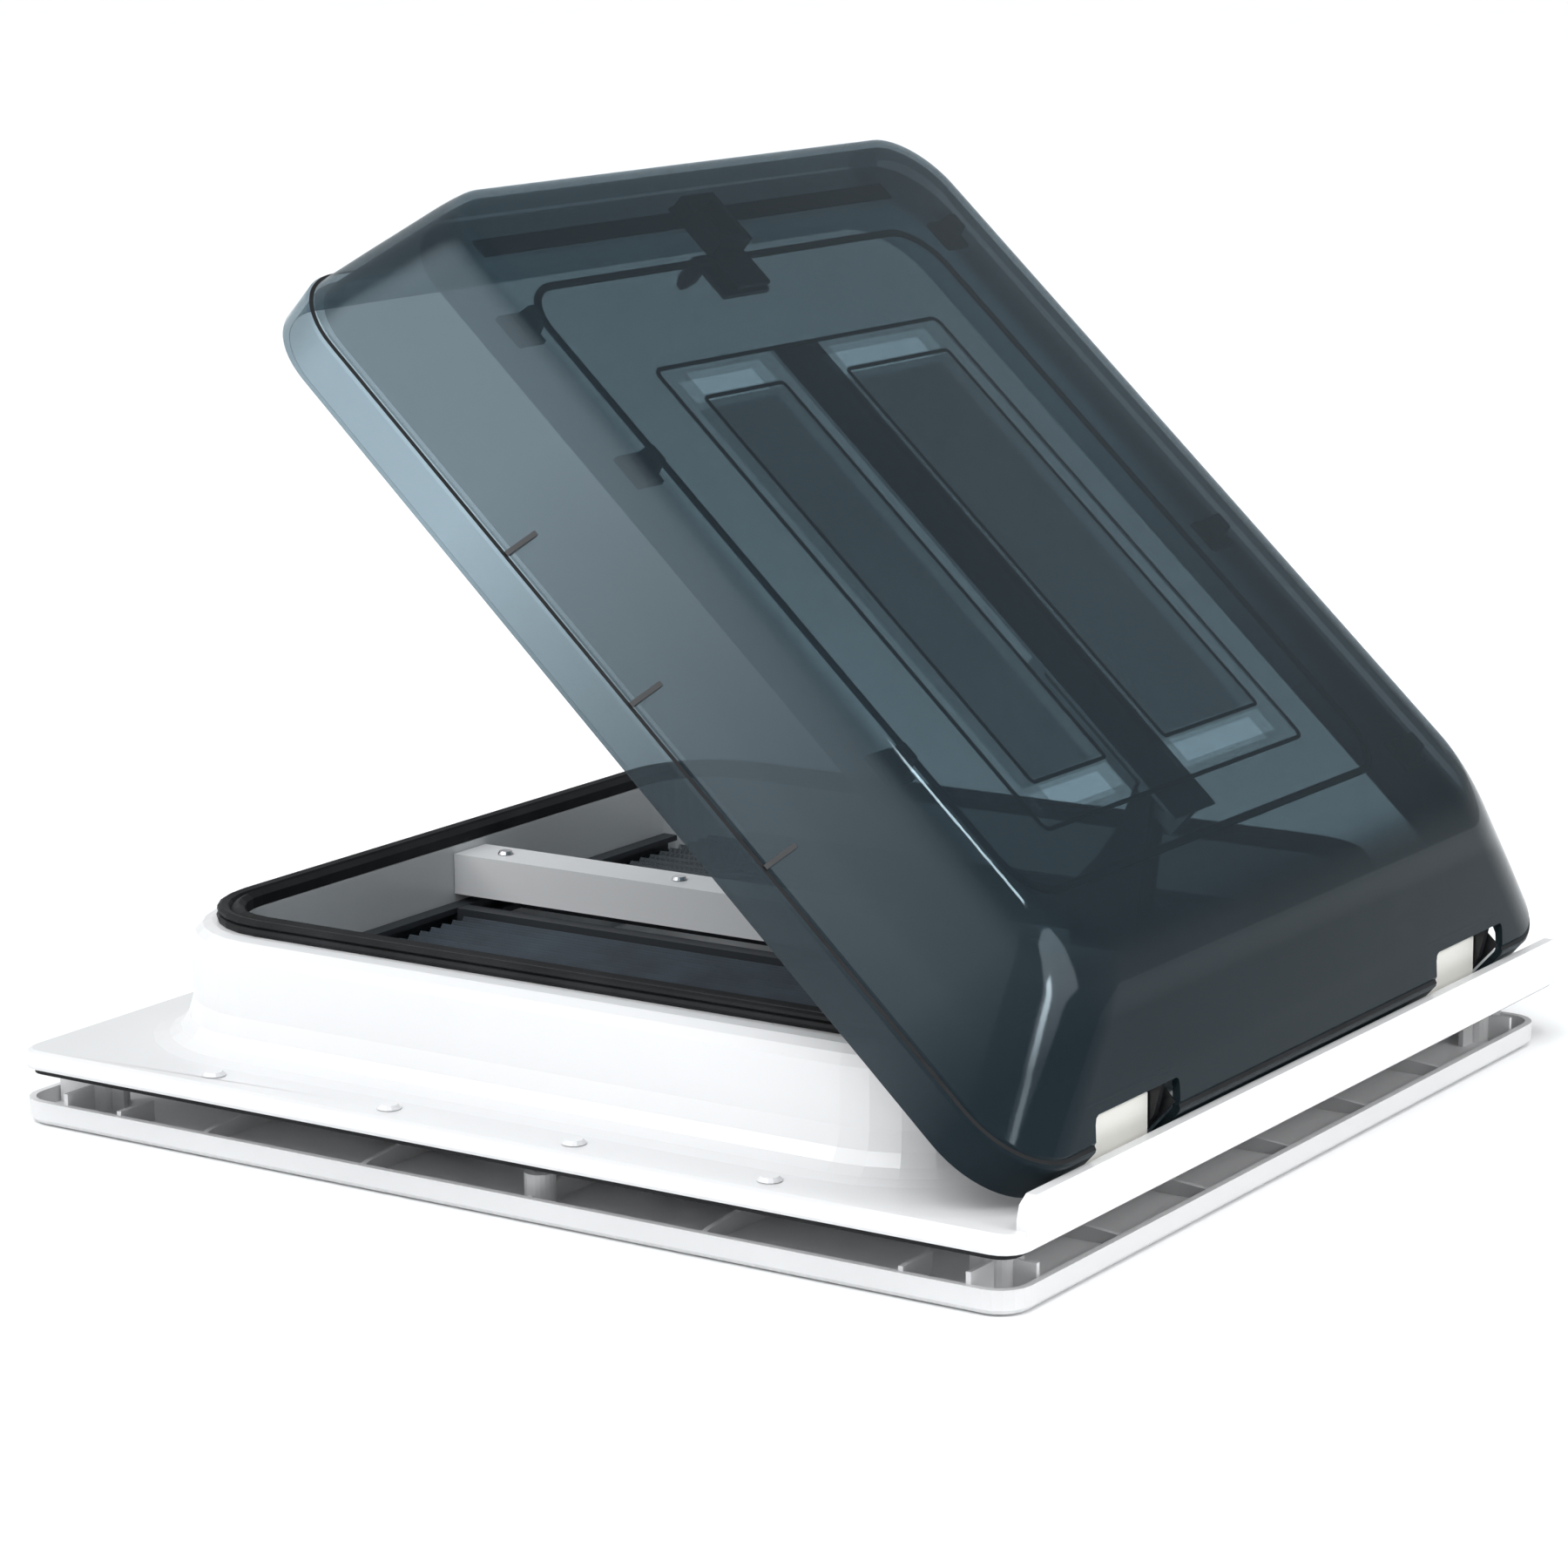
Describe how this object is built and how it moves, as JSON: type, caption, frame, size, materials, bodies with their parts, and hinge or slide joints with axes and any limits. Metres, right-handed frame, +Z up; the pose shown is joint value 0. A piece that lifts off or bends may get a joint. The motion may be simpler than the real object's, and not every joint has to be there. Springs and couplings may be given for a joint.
{
  "type": "deck hatch",
  "caption": "Roof and deck hatch with a tilting smoked double-skin lid, worm-driven operator arm, rim seal, ceiling trim, sliding blind and insect screen.",
  "frame": {"origin": "centre of the footprint, in the plane of the ceiling trim's underside", "axes": "+Z up and out of the roof, +Y along the lid hinge, -X towards the edge of the lid that lifts"},
  "size_m": [0.507, 0.485, 0.3995],
  "materials": {
    "frame_white": "gloss moulded",
    "trim_white": "satin moulded",
    "cream_plastic": "satin moulded",
    "black_rubber": "matt extruded",
    "smoked_acrylic": "smoked, polished",
    "smoked_acrylic_inner": "smoked, polished",
    "black_plastic": "satin moulded",
    "charcoal_plastic": "satin moulded",
    "grey_plastic": "satin moulded",
    "stainless": "turned",
    "aluminium_rail": "anodised",
    "brass_gear": "cut",
    "blind_cloth": "pleated blackout cloth",
    "screen_cloth": "pleated mesh"
  },
  "bodies": {
    "frame": {"outer_frame": "frame_white", "inner_frame": "trim_white", "rim_seal": "black_rubber", "roof_gasket": "black_rubber", "cap_near_1": "frame_white", "cap_near_2": "frame_white", "cap_near_3": "frame_white", "cap_near_4": "frame_white", "cap_far_1": "frame_white", "cap_far_2": "frame_white", "cap_far_3": "frame_white", "cap_far_4": "frame_white", "frame_screw_1": "stainless", "frame_screw_2": "stainless", "frame_screw_3": "stainless", "frame_screw_4": "stainless", "frame_screw_5": "stainless", "frame_screw_6": "stainless", "hinge_block_near": "cream_plastic", "hinge_block_far": "cream_plastic", "hinge_pin_near": "stainless", "hinge_pin_far": "stainless", "crossbar": "trim_white", "crossbar_screw_1": "stainless", "crossbar_screw_2": "stainless", "gearbox_housing": "grey_plastic", "gearbox_cover": "grey_plastic", "guide_rail_front": "charcoal_plastic", "guide_rail_rear_near": "charcoal_plastic", "guide_rail_rear_far": "charcoal_plastic", "blind_end_rail": "charcoal_plastic", "screen_end_rail": "charcoal_plastic", "blind_fabric": "blind_cloth", "screen_fabric": "screen_cloth"},
    "lid": {"lid_outer_skin": "smoked_acrylic", "lid_inner_skin": "smoked_acrylic_inner", "arm_track": "aluminium_rail", "hinge_bracket_near": "black_plastic", "hinge_bracket_far": "black_plastic", "skin_clip_near_1": "black_plastic", "skin_clip_near_2": "black_plastic", "skin_clip_near_3": "black_plastic", "skin_clip_far_1": "black_plastic", "skin_clip_far_2": "black_plastic", "skin_clip_far_3": "black_plastic", "lid_lug": "black_plastic", "lug_backing": "black_plastic"},
    "arm": {"operator_arm": "black_plastic", "arm_shaft": "stainless", "worm_wheel": "brass_gear", "fork_pin": "stainless"},
    "drive": {"worm_shaft": "stainless", "operator_knob": "grey_plastic"},
    "blind_bar": {"blind_pull_bar": "charcoal_plastic"},
    "screen_bar": {"screen_pull_bar": "charcoal_plastic"}
  },
  "joints": [
    {"name": "lid_hinge", "type": "hinge", "parent": "frame", "child": "lid", "pos_m": [0.2335, 0, 0.048], "axis": [0, 1, 0], "range_deg": [-42.6, 0]},
    {"name": "arm_pivot", "type": "hinge", "parent": "frame", "child": "arm", "pos_m": [0.1585, 0, 0.055], "axis": [0, 1, 0], "range_deg": [-81.8, 0]},
    {"name": "knob_turn", "type": "hinge", "parent": "frame", "child": "drive", "pos_m": [0.1437, 0.0155, 0.055], "axis": [0, 0, 1], "range_deg": [0, 1636]},
    {"name": "blind_slide", "type": "slide", "parent": "frame", "child": "blind_bar", "axis": [0, -1, 0], "range_m": [0, 0.13], "deforming": ["blind_fabric"]},
    {"name": "screen_slide", "type": "slide", "parent": "frame", "child": "screen_bar", "axis": [0, 1, 0], "range_m": [0, 0.118], "deforming": ["screen_fabric"]}
  ],
  "couplings": [
    {"joint": "arm_pivot", "follows": "lid_hinge", "ratio": 1.92},
    {"joint": "knob_turn", "follows": "lid_hinge", "ratio": -38.4}
  ]
}
